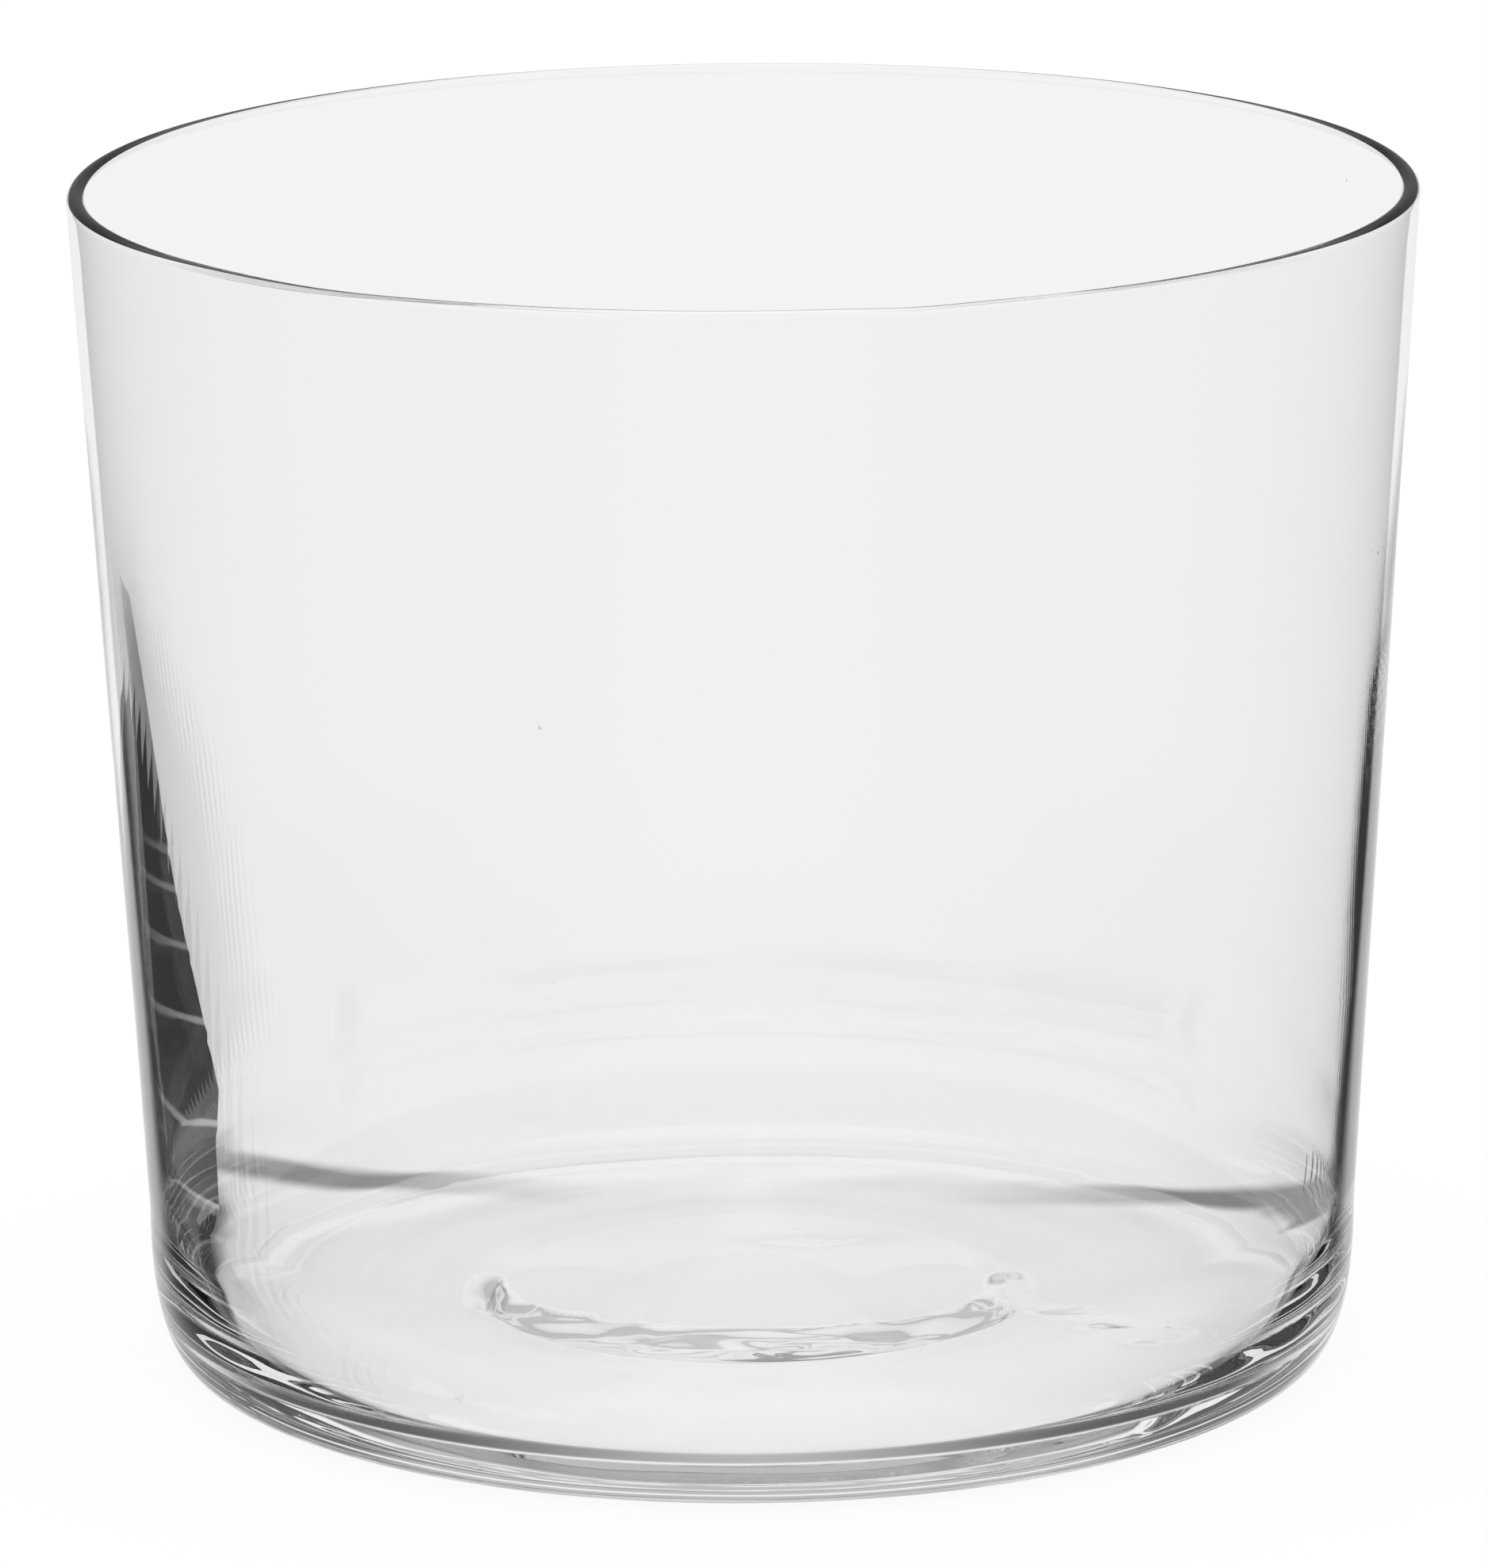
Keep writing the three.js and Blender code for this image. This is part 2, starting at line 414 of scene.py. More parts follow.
# %% Skin
def turned_mesh(name, grid):
    """Skin of a turned grid: its first and last ring are one point each, and four-sided faces join the
    rest."""
    rings = len(grid) - 2
    points = np.vstack([grid[1:-1].reshape(-1, 3), grid[0].mean(0), grid[-1].mean(0)])
    i, j = np.meshgrid(np.arange(rings - 1), np.arange(TURN), indexing="ij")
    k = (j + 1) % TURN
    below = i * TURN
    above = below + TURN
    quads = np.stack([below + j, below + k, above + k, above + j], -1).reshape(-1, 4)
    j = np.arange(TURN)
    k = (j + 1) % TURN
    last = (rings - 1) * TURN
    bottom = np.stack([np.full(TURN, rings * TURN), k, j], -1)
    middle = np.stack([np.full(TURN, rings * TURN + 1), last + j, last + k], -1)
    mesh = bpy.data.meshes.new(name)
    mesh.from_pydata(points.tolist(), [], quads.tolist() + bottom.tolist() + middle.tolist())
    mesh.polygons.foreach_set("use_smooth", np.ones(len(mesh.polygons), bool))
    mesh.update()
    made = bpy.data.objects.new(name, mesh)
    bpy.context.scene.collection.objects.link(made)
    return made


glass = turned_mesh("tumbler_glass", glass_grid)
glass.data.calc_loop_triangles()
print("glass:", len(glass.data.loop_triangles), "triangles")

# %% [markdown]
# ## Clear glass
# Soda-lime glass bends light with an index near 1.5 and has almost no colour. Its skin is as smooth as the
# flame and the mould left it, so the roughness is near zero. What the eye still finds is a faint ripple, a
# trace of handling and a few specks of dust. One node group makes these three from the place on the glass.

# %% Helpers for nodes
def math_node(tree, operation, *values):
    """Math node with the given operation; a value is a number or a socket."""
    node = tree.nodes.new("ShaderNodeMath")
    node.operation = operation
    for socket, value in zip(node.inputs, values):
        if isinstance(value, (int, float)):
            socket.default_value = value
        else:
            tree.links.new(value, socket)
    return node.outputs[0]


def product(tree, *values):
    """Product of several sockets or numbers."""
    total = values[0]
    for value in values[1:]:
        total = math_node(tree, "MULTIPLY", total, value)
    return total


def ramp_node(tree, value, span, low, high):
    """Smooth ramp of a value over a span (start, end): low up to its start, high from its end on."""
    node = tree.nodes.new("ShaderNodeMapRange")
    node.interpolation_type = "SMOOTHSTEP"
    for name, number in (("From Min", span[0]), ("From Max", span[1]), ("To Min", low), ("To Max", high)):
        node.inputs[name].default_value = number
    tree.links.new(value, node.inputs["Value"])
    return node.outputs[0]


def noise_node(tree, place, scale, detail):
    """Noise value from 0 to 1 at a place."""
    node = tree.nodes.new("ShaderNodeTexNoise")
    node.inputs["Scale"].default_value = scale
    node.inputs["Detail"].default_value = detail
    tree.links.new(place, node.inputs["Vector"])
    return node.outputs[0]


# %% Group of surface traces
RIPPLE_SCALE = 160.0
RIPPLE_DETAIL = 2.0
SMUDGE_SCALE = 45.0
SMUDGE_DETAIL = 4.0
SMUDGE_SPAN = (0.58, 0.8)
SMUDGE_ROUGHNESS = 0.012
SPECK_SCALE = 130.0
SPECK_SPAN = (0.012, 0.022)
SPECK_ROUGHNESS = 0.3
SPARSE_SCALE = 90.0
SPARSE_SPAN = (0.62, 0.64)
CLEAR_COLOUR = (1.0, 1.0, 1.0, 1.0)
SPECK_COLOUR = (0.6, 0.6, 0.6, 1.0)
traces = bpy.data.node_groups.new("glass_traces", "ShaderNodeTree")
traces.interface.new_socket("Place", in_out="INPUT", socket_type="NodeSocketVector")
traces.interface.new_socket("Ripple", in_out="OUTPUT", socket_type="NodeSocketFloat")
traces.interface.new_socket("Roughness", in_out="OUTPUT", socket_type="NodeSocketFloat")
traces.interface.new_socket("Tint", in_out="OUTPUT", socket_type="NodeSocketColor")
trace_in = traces.nodes.new("NodeGroupInput")
trace_out = traces.nodes.new("NodeGroupOutput")
place = trace_in.outputs["Place"]
ripple = noise_node(traces, place, RIPPLE_SCALE, RIPPLE_DETAIL)
smudge = ramp_node(traces, noise_node(traces, place, SMUDGE_SCALE, SMUDGE_DETAIL), SMUDGE_SPAN, 0.0, 1.0)
dust = traces.nodes.new("ShaderNodeTexVoronoi")
dust.inputs["Scale"].default_value = SPECK_SCALE
traces.links.new(place, dust.inputs["Vector"])
sparse = ramp_node(traces, noise_node(traces, place, SPARSE_SCALE, 0.0), SPARSE_SPAN, 0.0, 1.0)
speck = product(traces, ramp_node(traces, dust.outputs["Distance"], SPECK_SPAN, 1.0, 0.0), sparse)
smudge_rough = product(traces, smudge, SMUDGE_ROUGHNESS)
speck_rough = product(traces, speck, SPECK_ROUGHNESS)
rough = math_node(traces, "ADD", smudge_rough, speck_rough)
tint = traces.nodes.new("ShaderNodeMix")
tint.data_type = "RGBA"
tint.inputs["A"].default_value = CLEAR_COLOUR
tint.inputs["B"].default_value = SPECK_COLOUR
traces.links.new(speck, tint.inputs["Factor"])
traces.links.new(ripple, trace_out.inputs["Ripple"])
traces.links.new(rough, trace_out.inputs["Roughness"])
traces.links.new(tint.outputs["Result"], trace_out.inputs["Tint"])
print("traces:", len(traces.nodes), "nodes")

# %% Glass material
GLASS_IOR = 1.5
RIPPLE_HEIGHT = 0.0012 * MM

clear_glass = bpy.data.materials.new("clear_glass")
clear_glass.use_nodes = True
tree = clear_glass.node_tree
shader = tree.nodes["Principled BSDF"]
shader.inputs["IOR"].default_value = GLASS_IOR
shader.inputs["Transmission Weight"].default_value = 1.0
where = tree.nodes.new("ShaderNodeTexCoord")
trace = tree.nodes.new("ShaderNodeGroup")
trace.node_tree = traces
bump = tree.nodes.new("ShaderNodeBump")
bump.inputs["Strength"].default_value = 1.0
bump.inputs["Distance"].default_value = RIPPLE_HEIGHT
tree.links.new(where.outputs["Object"], trace.inputs["Place"])
tree.links.new(trace.outputs["Tint"], shader.inputs["Base Color"])
tree.links.new(trace.outputs["Roughness"], shader.inputs["Roughness"])
tree.links.new(trace.outputs["Ripple"], bump.inputs["Height"])
tree.links.new(bump.outputs["Normal"], shader.inputs["Normal"])
glass.data.materials.append(clear_glass)
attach(glass, "root")
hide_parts("tumbler")
print("material:", clear_glass.name, "index", GLASS_IOR)

# %% [markdown]
# ## The stage
# Clear glass has no look of its own: it shows what stands round it, bent. The photographer's answer is a
# white sheet that fades to dark at the sides, so that the middle of the glass is bright and its edges are
# drawn dark. The floor is that sheet, and that fade to dark is painted shade in its glow. It is white to the
# camera and keeps the glass's soft shadow. Seen through the glass it is a little under white, because the
# sheet is lit evenly and not glaring; under the glass painted light makes it brighter, and beside the foot a
# painted contact shadow darkens it. What the glass mirrors of the sheet is a painted reflection. These tones
# stand for a studio that the picture doesn't show, and they are set for the main view. They belong to the
# stage and not to the glass.

# %% Helpers for rays and angles
def ray_kinds(tree):
    """Three masks for a ray: from the camera, through glass, and mirrored only. A bent ray counts as both
    of the last two in Light Path, so the mirrored mask leaves it out."""
    path = tree.nodes.new("ShaderNodeLightPath")
    through = path.outputs["Is Transmission Ray"]
    not_through = math_node(tree, "SUBTRACT", 1.0, through)
    mirrored = product(tree, path.outputs["Is Glossy Ray"], not_through)
    return path.outputs["Is Camera Ray"], through, mirrored


def rest_of(tree, value):
    """What a share leaves over: 1 - value."""
    return math_node(tree, "SUBTRACT", 1.0, value)


def radians(degrees):
    """Angle in radians, as a plain number."""
    return float(np.radians(degrees))


def sine(degrees):
    """Sine of an angle in degrees, as a plain number."""
    return float(np.sin(np.radians(degrees)))


def millimetres(start, end):
    """Span of lengths, given in millimetres."""
    return start * MM, end * MM


# %% Floor
FLOOR_SIZE = 8.0
FLOOR_DROP = 0.1 * MM
bpy.ops.mesh.primitive_plane_add(size=FLOOR_SIZE, location=(0, 0, -FLOOR_DROP))
floor = bpy.context.object
floor.name = "floor"
paper = bpy.data.materials.new("white_sheet")
paper.use_nodes = True
tree = paper.node_tree
tree.nodes.clear()
coords = tree.nodes.new("ShaderNodeTexCoord")
axes = tree.nodes.new("ShaderNodeSeparateXYZ")
tree.links.new(coords.outputs["Object"], axes.inputs[0])
floor_x, floor_y = axes.outputs[0], axes.outputs[1]
square = math_node(tree, "ADD", product(tree, floor_x, floor_x), product(tree, floor_y, floor_y))
from_axis = math_node(tree, "SQRT", square)
bearing = math_node(tree, "ABSOLUTE", math_node(tree, "ARCTAN2", floor_x, floor_y))
print(f"floor: {FLOOR_SIZE:.0f} m square")

# %% [markdown]
# Beside the foot the sheet has four painted shadows, which stand for the glass's contact shadow: a short
# strip behind the glass on each side, a dark band along its left with a grey tail, and a dark ring in front.
# Each is a product of smooth ramps, and all of them end close to the glass, so that they don't show as shapes
# of their own from other sides.

# %% Painted shadow: strips behind the foot
# Painted contact shadow: dark strips on the sheet behind the foot, seen only through the glass.
STRIP_EDGE = millimetres(1.2, 4.2)
LEFT_STRIP_SLOPE = 0.4
LEFT_STRIP_PLACE = 20.6 * MM
LEFT_STRIP_DEPTH = 0.7
LEFT_STRIP_SPAN = millimetres(-27.0, -10.0)
LEFT_STRIP_END = millimetres(50.0, 58.0)
RIGHT_STRIP_PLACE = 25.0 * MM
RIGHT_STRIP_DEPTH = 0.75
RIGHT_STRIP_SPAN = millimetres(10.0, 30.0)
RIGHT_STRIP_END = millimetres(52.0, 62.0)


def strip(line, middle, depth):
    """Painted shadow along the line where a value equals its middle: depth on it, easing to 0 beside it."""
    away = math_node(tree, "ABSOLUTE", math_node(tree, "SUBTRACT", line, middle))
    return ramp_node(tree, away, STRIP_EDGE, depth, 0.0)


left_line = math_node(tree, "ADD", product(tree, floor_x, LEFT_STRIP_SLOPE), floor_y)
left_shadow_strip = product(
    tree,
    strip(left_line, LEFT_STRIP_PLACE, LEFT_STRIP_DEPTH),
    ramp_node(tree, floor_x, LEFT_STRIP_SPAN, 1.0, 0.0),
    ramp_node(tree, from_axis, LEFT_STRIP_END, 1.0, 0.0),
)
right_shadow_strip = product(
    tree,
    strip(floor_y, RIGHT_STRIP_PLACE, RIGHT_STRIP_DEPTH),
    ramp_node(tree, floor_x, RIGHT_STRIP_SPAN, 0.0, 1.0),
    ramp_node(tree, from_axis, RIGHT_STRIP_END, 1.0, 0.0),
)
print("strips: depth", LEFT_STRIP_DEPTH, "and", RIGHT_STRIP_DEPTH)

# %% Painted shadow: band at the left and ring in front
# Painted contact shadow: a dark band along the left of the foot with a grey tail behind, and a ring in front.
BAND_BEND_START = 22.0 * MM
BAND_BEND = 0.15
BAND_DEPTH = 0.95
BAND_EDGE = millimetres(-38.6, -36.6)
BAND_END = millimetres(46.0, 60.0)
BAND_FRONT = millimetres(-22.0, -12.0)
BAND_BACK = millimetres(24.0, 40.0)
TAIL_DEPTH = 0.55
TAIL_EDGE = millimetres(-36.6, -34.8)
TAIL_FRONT = millimetres(32.0, 36.0)
TAIL_REACH = millimetres(50.0, 64.0)
FRONT_SPAN = millimetres(-22.0, -10.0)
FRONT_SIDEWAYS = millimetres(0.0, 26.0)
FRONT_DEPTHS = (0.5, 0.93)
FRONT_START = millimetres(35.6, 37.4)
FRONT_END = millimetres(44.0, 58.0)
bend = math_node(tree, "MAXIMUM", math_node(tree, "SUBTRACT", floor_y, BAND_BEND_START), 0.0)
band_line = math_node(tree, "ADD", floor_x, product(tree, bend, BAND_BEND))
band = product(
    tree,
    ramp_node(tree, band_line, BAND_EDGE, BAND_DEPTH, 0.0),
    ramp_node(tree, from_axis, BAND_END, 1.0, 0.0),
    ramp_node(tree, floor_y, BAND_FRONT, 0.0, 1.0),
    ramp_node(tree, floor_y, BAND_BACK, 1.0, 0.0),
)
shadow_band_tail = product(
    tree,
    ramp_node(tree, band_line, TAIL_EDGE, TAIL_DEPTH, 0.0),
    ramp_node(tree, floor_y, TAIL_FRONT, 0.0, 1.0),
    ramp_node(tree, from_axis, TAIL_REACH, 1.0, 0.0),
)
front = product(
    tree,
    ramp_node(tree, floor_y, FRONT_SPAN, 1.0, 0.0),
    ramp_node(tree, math_node(tree, "ABSOLUTE", floor_x), FRONT_SIDEWAYS, *FRONT_DEPTHS),
    ramp_node(tree, from_axis, FRONT_START, 0.0, 1.0),
    ramp_node(tree, from_axis, FRONT_END, 1.0, 0.0),
)
# The four painted shadows beside the foot are joined by their largest value.
shade = left_shadow_strip
for part in (right_shadow_strip, band, shadow_band_tail, front):
    shade = math_node(tree, "MAXIMUM", shade, part)
print("band: depth", BAND_DEPTH, "front:", FRONT_DEPTHS)

# %% [markdown]
# Further out, painted shade darkens the sheet to the left and right of the glass, and under the glass painted
# light makes it brighter. What the wall mirrors is drawn apart as a painted reflection: a bright wedge of
# sheet behind the glass and a soft glow from the front.

# %% Tones of the sheet, with painted shade, light and reflection
SHEET_TONE = 0.9
# Painted light: the sheet is brighter under the glass, for light that comes through the glass onto it.
UNDER_GLASS_LIGHT = 1.0
UNDER_GLASS_EDGE = millimetres(28.0, 36.0)
# Painted shade: the sheet's fall to dark at the sides, seen through the glass.
FLANK_DEPTH = 0.25
FLANK_START = (radians(48), radians(75))
FLANK_END = (radians(105), radians(128))
FLANK_REST = 0.3
FLANK_NEAR = millimetres(45.0, 60.0)
FLANK_FAR = millimetres(90.0, 200.0)
# Painted reflection: tones of the sheet that only the glass mirrors, a bright wedge behind it and a glow from
# the front.
WEDGE_SPREAD = 0.435
WEDGE_EDGE = millimetres(42.0, 52.0)
WEDGE_TONES = (0.85, 0.05)
FRONT_GLOW = 0.35
FRONT_GLOW_START = (radians(140), radians(174))
flank_shade = product(
    tree,
    ramp_node(tree, bearing, FLANK_START, 0.0, FLANK_DEPTH),
    ramp_node(tree, bearing, FLANK_END, 1.0, FLANK_REST),
    ramp_node(tree, from_axis, FLANK_NEAR, 0.0, 1.0),
    ramp_node(tree, from_axis, FLANK_FAR, 1.0, 0.0),
)
sheet = ramp_node(tree, from_axis, UNDER_GLASS_EDGE, UNDER_GLASS_LIGHT, SHEET_TONE)
seen_through = product(tree, sheet, rest_of(tree, flank_shade), rest_of(tree, shade))
sideways = math_node(tree, "ABSOLUTE", floor_x)
wedge = math_node(tree, "SUBTRACT", sideways, product(tree, floor_y, WEDGE_SPREAD))
bright_wedge = ramp_node(tree, wedge, WEDGE_EDGE, *WEDGE_TONES)
front_glow = ramp_node(tree, bearing, FRONT_GLOW_START, 0.0, FRONT_GLOW)
sheet_reflection = math_node(tree, "MAXIMUM", bright_wedge, front_glow)
print("sheet: tone", SHEET_TONE, "beside the glass and", UNDER_GLASS_LIGHT, "under it")

# %% Sheet material
SHADOW_SHARE = 0.06
camera_ray, through_ray, mirror_ray = ray_kinds(tree)
to_camera = product(tree, camera_ray, 1.0 - SHADOW_SHARE)
to_glass = math_node(
    tree, "ADD", product(tree, through_ray, seen_through), product(tree, mirror_ray, sheet_reflection)
)
strength = math_node(tree, "ADD", to_camera, to_glass)
glow = tree.nodes.new("ShaderNodeEmission")
tree.links.new(strength, glow.inputs["Strength"])
matt = tree.nodes.new("ShaderNodeBsdfDiffuse")
tree.links.new(product(tree, camera_ray, SHADOW_SHARE), matt.inputs["Color"])
both = tree.nodes.new("ShaderNodeAddShader")
tree.links.new(glow.outputs[0], both.inputs[0])
tree.links.new(matt.outputs[0], both.inputs[1])
sheet_out = tree.nodes.new("ShaderNodeOutputMaterial")
tree.links.new(both.outputs[0], sheet_out.inputs["Surface"])
floor.data.materials.append(paper)
print("sheet material:", len(tree.nodes), "nodes")

# %% [markdown]
# Above the table the room is white to the camera. Rays that leave the glass upwards find a lit wall ahead,
# dark flanks and a softly lit ceiling, and what the glass mirrors is a dim room.

# %% World
WALL_AHEAD = 0.5
WALL_AHEAD_EDGE = (radians(22), radians(36))
FLANK_TONE = 0.06
CEILING_TONE = 0.3
CEILING_EDGE = (sine(38), sine(52))
SHEET_EDGE = (sine(3), sine(8))
ROOM_MIRRORED = 0.2
CEILING_MIRRORED = 1.0
MIRRORED_EDGE = (0.3, 0.6)
ROOM_LIGHT = 0.5
SKY_COLOUR = (1.0, 1.0, 1.0, 1.0)
studio = bpy.data.worlds.new("studio")
bpy.context.scene.world = studio
studio.use_nodes = True
tree = studio.node_tree
tree.nodes.clear()
coords = tree.nodes.new("ShaderNodeTexCoord")
axes = tree.nodes.new("ShaderNodeSeparateXYZ")
tree.links.new(coords.outputs["Generated"], axes.inputs[0])
bearing = math_node(tree, "ABSOLUTE", math_node(tree, "ARCTAN2", axes.outputs[0], axes.outputs[1]))
ahead = ramp_node(tree, bearing, WALL_AHEAD_EDGE, WALL_AHEAD, FLANK_TONE)
rise = axes.outputs[2]
overhead = ramp_node(tree, rise, CEILING_EDGE, 0.0, 1.0)
level = ramp_node(tree, rise, SHEET_EDGE, 1.0, 0.0)
walls = product(tree, ahead, rest_of(tree, overhead))
upper = math_node(tree, "ADD", walls, product(tree, overhead, CEILING_TONE))
above_table = product(tree, upper, rest_of(tree, level))
room = math_node(tree, "ADD", above_table, product(tree, level, SHEET_TONE))
room_mirrored = ramp_node(tree, rise, MIRRORED_EDGE, ROOM_MIRRORED, CEILING_MIRRORED)
camera_ray, through_ray, mirror_ray = ray_kinds(tree)
path = tree.nodes.new("ShaderNodeLightPath")
to_table = product(tree, path.outputs["Is Diffuse Ray"], ROOM_LIGHT)
to_glass = math_node(
    tree, "ADD", product(tree, through_ray, room), product(tree, mirror_ray, room_mirrored)
)
strength = math_node(tree, "ADD", math_node(tree, "ADD", camera_ray, to_table), to_glass)
sky = tree.nodes.new("ShaderNodeBackground")
sky.inputs["Color"].default_value = SKY_COLOUR
tree.links.new(strength, sky.inputs["Strength"])
sky_out = tree.nodes.new("ShaderNodeOutputWorld")
tree.links.new(sky.outputs[0], sky_out.inputs["Surface"])
print("world:", len(tree.nodes), "nodes")

# %% [markdown]
# The dark band at the left of the glass is a dark screen close to it, seen through the edge of both walls.
# Its few light lines are painted light: they glow where gaps in the screen would let light through, and the
# screen has no gaps. Thin slats stand all round the glass and catch the rays that bounce inside the wall, so
# that it has a dark edge from every side. The left ones leave a window for the screen. Screen and slats are
# painted shade, dark stand-ins for an unlit room round the glass: they are dark on their outer face and clear
# from behind, so only rays that leave past the edge meet the dark. Only rays through the glass meet them: the
# camera and the light don't.

# %% Film of the screens, with painted light lines
SCREEN_TONE = 0.03
# Painted light: level lines that glow on the dark screen.
LINE_HEIGHTS = np.array([3.2, 10.0, 17.2, 22.3, 26.2, 28.9]) * MM
PAINTED_LINE_GLOWS = (0.5, 0.45, 0.35, 0.25, 0.25, 0.16)
LINE_SINK = 0.16
LINE_START = 42.0 * MM
LINE_EDGE = millimetres(0.12, 0.4)


def lined_screen_glow(tree):
    """Glow of the lined screen: dark, plus a painted light line wherever height + LINE_SINK * distance from
    the axis passes one of the lines, so that the lines sink a little away from the glass."""
    place = tree.nodes.new("ShaderNodeTexCoord")
    axes = tree.nodes.new("ShaderNodeSeparateXYZ")
    tree.links.new(place.outputs["Object"], axes.inputs[0])
    square = [product(tree, axes.outputs[i], axes.outputs[i]) for i in (0, 1)]
    out_from = math_node(tree, "SQRT", math_node(tree, "ADD", *square))
    level = math_node(tree, "ADD", axes.outputs[2], product(tree, out_from, LINE_SINK))
    tone = SCREEN_TONE
    for height, light in zip(LINE_HEIGHTS, PAINTED_LINE_GLOWS):
        away = math_node(tree, "SUBTRACT", level, float(height + LINE_SINK * LINE_START))
        painted_line = ramp_node(tree, math_node(tree, "ABSOLUTE", away), LINE_EDGE, light, 0.0)
        tone = math_node(tree, "ADD", tone, painted_line)
    return tone


def screen_film(name, lined):
    """Dark from the front and clear from behind, with level painted light lines where lined is true."""
    film = bpy.data.materials.new(name)
    film.use_nodes = True
    tree = film.node_tree
    tree.nodes.clear()
    side = tree.nodes.new("ShaderNodeNewGeometry")
    ink = tree.nodes.new("ShaderNodeEmission")
    ink.inputs["Strength"].default_value = SCREEN_TONE
    if lined:
        tree.links.new(lined_screen_glow(tree), ink.inputs["Strength"])
    clear = tree.nodes.new("ShaderNodeBsdfTransparent")
    choice = tree.nodes.new("ShaderNodeMixShader")
    out = tree.nodes.new("ShaderNodeOutputMaterial")
    tree.links.new(side.outputs["Backfacing"], choice.inputs[0])
    tree.links.new(ink.outputs[0], choice.inputs[1])
    tree.links.new(clear.outputs[0], choice.inputs[2])
    tree.links.new(choice.outputs[0], out.inputs["Surface"])
    return film


# %% Copies round the glass
def round_the_glass(name, one, faces, turns, mirrored=False, lined=False):
    """One object of copies of the points one (n, 3) and their faces at the given turns about the axis;
    mirrored swaps left and right."""
    turn = turns[:, None]
    copies = len(turns)
    x = one[:, 0] * np.cos(turn) - one[:, 1] * np.sin(turn)
    y = one[:, 0] * np.sin(turn) + one[:, 1] * np.cos(turn)
    points = np.stack([x, y, np.repeat(one[None, :, 2], copies, 0)], -1).reshape(-1, 3)
    first = np.arange(copies) * len(one)
    faces = (faces[None] + first[:, None, None]).reshape(-1, faces.shape[1])
    if mirrored:
        points = points * np.array([-1.0, 1.0, 1.0])
        faces = faces[:, ::-1]
    mesh = bpy.data.meshes.new(name)
    mesh.from_pydata(points.tolist(), [], faces.tolist())
    mesh.update()
    mesh.materials.append(screen_film(name, lined))
    made = bpy.data.objects.new(name, mesh)
    bpy.context.scene.collection.objects.link(made)
    made.visible_camera = False
    made.visible_diffuse = False
    made.visible_glossy = False
    made.visible_shadow = False


# %% Screen at the left
SCREEN_CORNER = np.array([-40.0, 20.0]) * MM
SCREEN_TURN = radians(35)
LEFT_EDGE = np.array([[-3.0, 0.0], [-3.0, 12.5], [15.5, 44.0], [22.0, 44.0], [22.0, 0.0]]) * MM


def screen(edge):
    """Points of an upright screen: each (s, z) of its edge stands s along the floor line from
    SCREEN_CORNER."""
    along = np.array([-np.sin(SCREEN_TURN), np.cos(SCREEN_TURN)])
    return np.column_stack([SCREEN_CORNER + edge[:, :1] * along, edge[:, 1]])


one_face = np.arange(len(LEFT_EDGE))[None]
round_the_glass("screen_left", screen(LEFT_EDGE), one_face, np.zeros(1), lined=True)
print("screen:", len(PAINTED_LINE_GLOWS), "light lines")

# %% Slats
LEFT_SLAT_COPIES = 144
RIGHT_SLAT_COPIES = 288
SLAT_HEIGHTS = np.linspace(1.5, 46.0, 8) * MM
SLAT_START = 44.4 * MM
SLAT_END = 64.0 * MM
SLAT_EDGE_LEAD = 1.8 * MM
SLAT_CLEARANCE = 0.2 * MM
SLAT_WINDOW = radians(28)
LEFT_SLAT_DISTANCE = 31.5 * MM
LEFT_SLAT_BEND = 3.6
RIGHT_SLAT_DISTANCE = 37.4 * MM
RIGHT_SLAT_LEAN = 0.09


def slat(z, distance):
    """One slat: at height z it runs from SLAT_START to SLAT_END on a line at the given distance from the
    axis, and its near edge stands SLAT_EDGE_LEAD further out than that line."""
    lead = np.minimum(distance + SLAT_EDGE_LEAD, SLAT_START - SLAT_CLEARANCE)
    start = np.arcsin(lead / SLAT_START)
    lean = start - np.arcsin(distance / SLAT_START)
    near = SLAT_START * np.stack([-np.sin(start), np.cos(start)], -1)
    length = np.sqrt(SLAT_END ** 2 - distance ** 2) - np.sqrt(SLAT_START ** 2 - distance ** 2)
    far = near + length[:, None] * np.stack([-np.sin(lean), np.cos(lean)], -1)
    flat = np.stack([near, far], 1).reshape(-1, 2)
    points = np.column_stack([flat, np.repeat(z, 2)])
    first = np.arange(len(z) - 1)[:, None] * 2
    return points, first + np.array([0, 2, 3, 1])


def even_turns(copies):
    """Even steps of a full turn."""
    return np.arange(copies) * 2 * np.pi / copies


left_turns = even_turns(LEFT_SLAT_COPIES)
left_turns = left_turns[left_turns > SLAT_WINDOW]
points, faces = slat(SLAT_HEIGHTS, LEFT_SLAT_DISTANCE + LEFT_SLAT_BEND * SLAT_HEIGHTS ** 2)
round_the_glass("slats_left", points, faces, left_turns)
points, faces = slat(SLAT_HEIGHTS, RIGHT_SLAT_DISTANCE + RIGHT_SLAT_LEAN * SLAT_HEIGHTS)
round_the_glass("slats_right", points, faces, even_turns(RIGHT_SLAT_COPIES), mirrored=True)
print("slats:", len(left_turns), "and", RIGHT_SLAT_COPIES)

# %% [markdown]
# One wide lamp overhead lights the floor evenly. It leaves the glass's faint, soft shadow on the sheet.

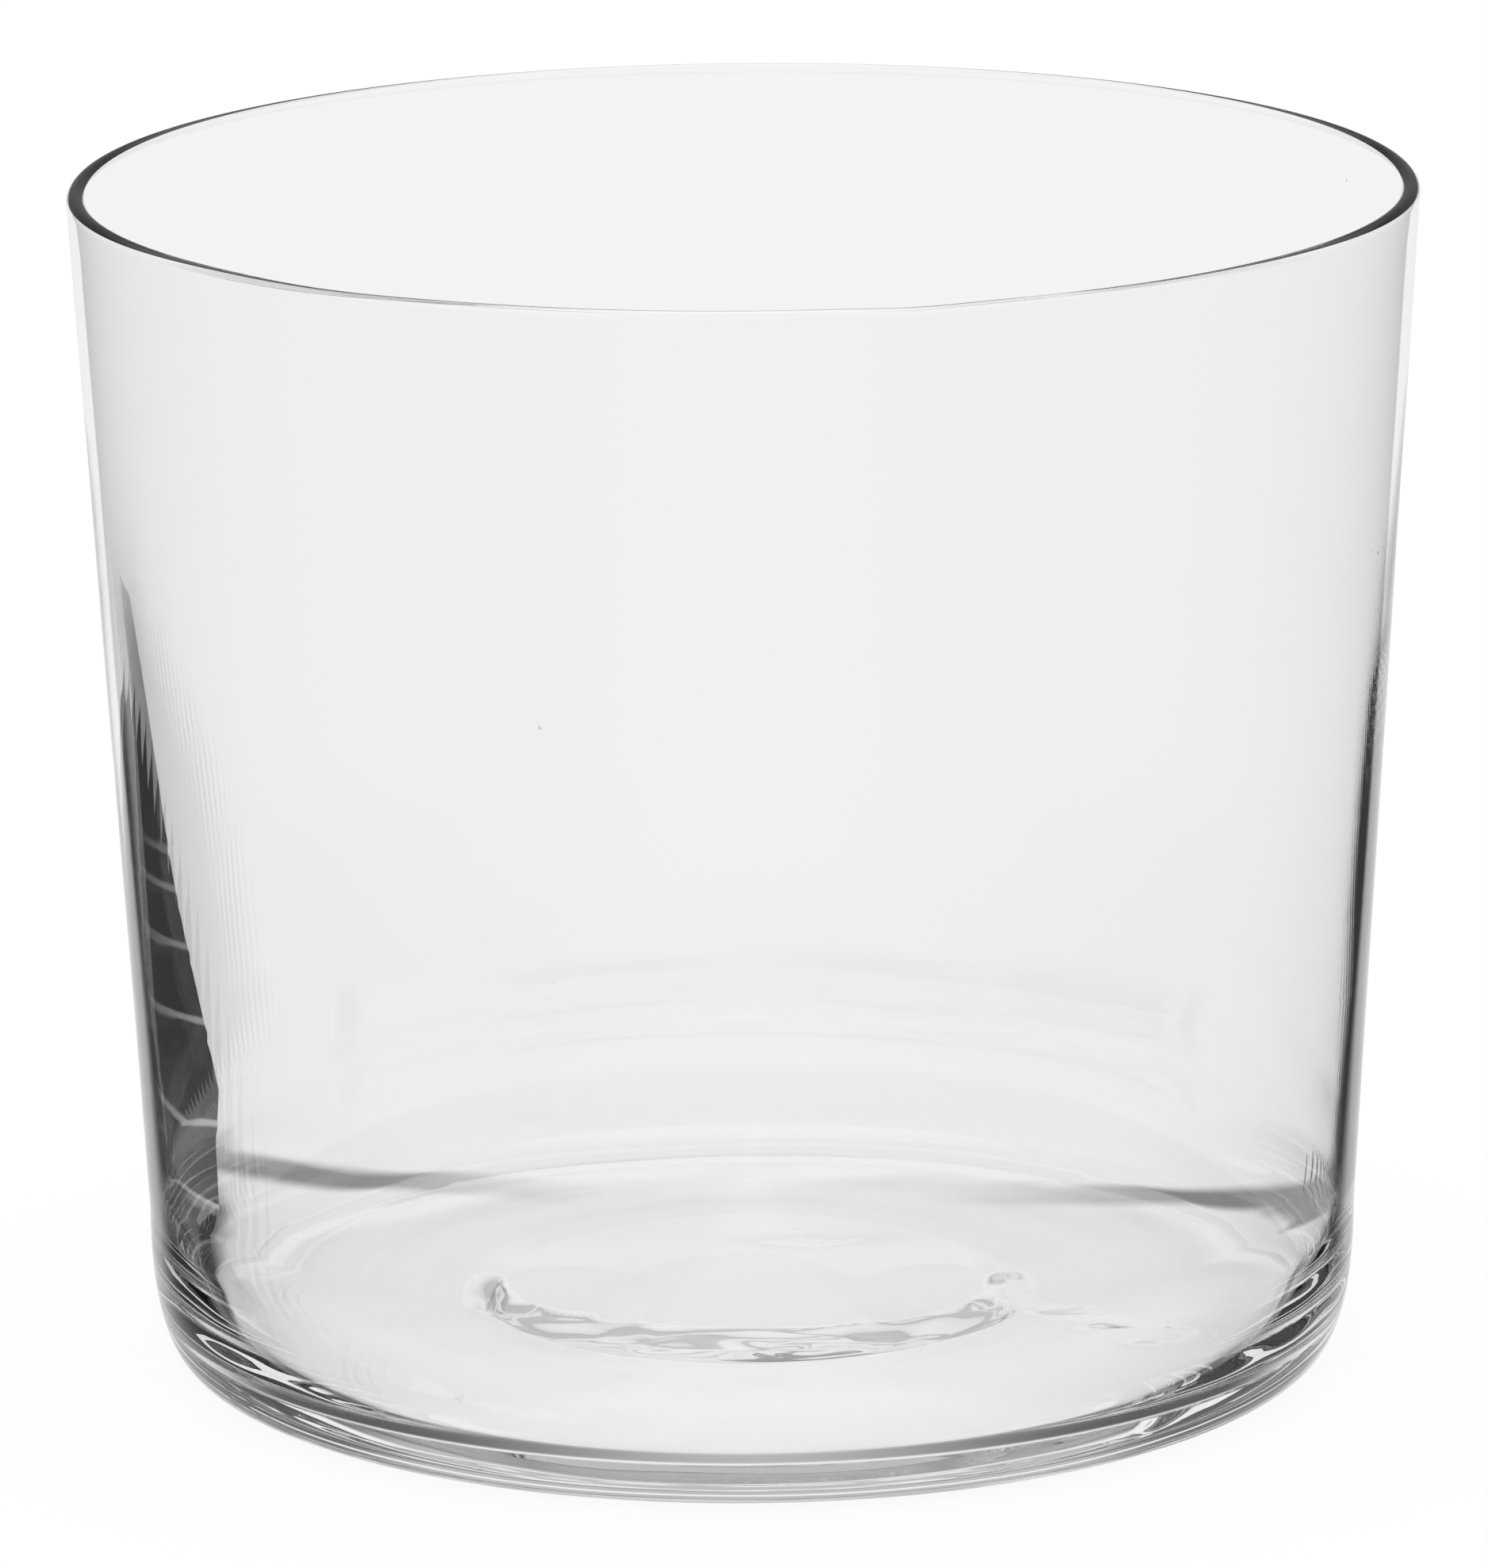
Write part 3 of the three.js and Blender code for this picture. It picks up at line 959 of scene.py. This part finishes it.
# %% Lamp
LAMP_SIZE = 1.2
LAMP_HEIGHT = 1.4
LAMP_POWER = 16.0
lamp_data = bpy.data.lights.new("overhead", "AREA")
lamp_data.shape = "SQUARE"
lamp_data.size = LAMP_SIZE
lamp_data.energy = LAMP_POWER
lamp = bpy.data.objects.new("overhead", lamp_data)
lamp.location = (0.0, 0.0, LAMP_HEIGHT)
lamp.visible_glossy = False
lamp.visible_transmission = False
bpy.context.scene.collection.objects.link(lamp)
print("lamp:", LAMP_POWER, "W")

# %% [markdown]
# ## The camera
# The photograph looks down on the glass by about 14 degrees from 0.7 m. The small turns and the focal
# length come from fitting the rim's and the heel's ellipses, and the image is taken to be 1876 by 1977
# pixels.

# %% Camera
IMAGE_HEIGHT = 1977
SENSOR = 36.0
FOCAL_PIXELS = 12812.1
DISTANCE = 686.3 * MM
AIM_HEIGHT = 40.0 * MM
LOOK_DOWN = radians(13.9291)
PITCH = radians(-0.122)
YAW = radians(-0.025)
ROLL = radians(-0.508)
lens = bpy.data.cameras.new("camera")
lens.sensor_width = SENSOR
lens.lens = FOCAL_PIXELS * SENSOR / IMAGE_HEIGHT
camera = bpy.data.objects.new("camera", lens)
bpy.context.scene.collection.objects.link(camera)
bpy.context.scene.camera = camera
tilt = PITCH - LOOK_DOWN
forward = Vector((np.sin(YAW) * np.cos(tilt), np.cos(YAW) * np.cos(tilt), np.sin(tilt)))
right = forward.cross(Vector((0, 0, 1))).normalized()
up = right.cross(forward)
rolled_right = right * np.cos(ROLL) + up * np.sin(ROLL)
rolled_up = up * np.cos(ROLL) - right * np.sin(ROLL)
stand = Matrix((rolled_right, rolled_up, -forward)).transposed().to_4x4()
stand_height = DISTANCE * np.sin(LOOK_DOWN) + AIM_HEIGHT
stand.translation = Vector((0, -DISTANCE * np.cos(LOOK_DOWN), stand_height))
camera.matrix_world = stand
print(f"camera: {lens.lens:.0f} mm lens")

# %% [markdown]
# Light crosses many surfaces before it leaves a glass, so the paths are allowed to be long. The colours
# stay as they are written.

# %% Settings
LIGHT_BOUNCES = 80
CLEAR_BOUNCES = 96
scene = bpy.context.scene
scene.view_settings.view_transform = "Standard"
scene.cycles.max_bounces = LIGHT_BOUNCES
scene.cycles.transmission_bounces = LIGHT_BOUNCES
scene.cycles.glossy_bounces = LIGHT_BOUNCES
scene.cycles.transparent_max_bounces = CLEAR_BOUNCES
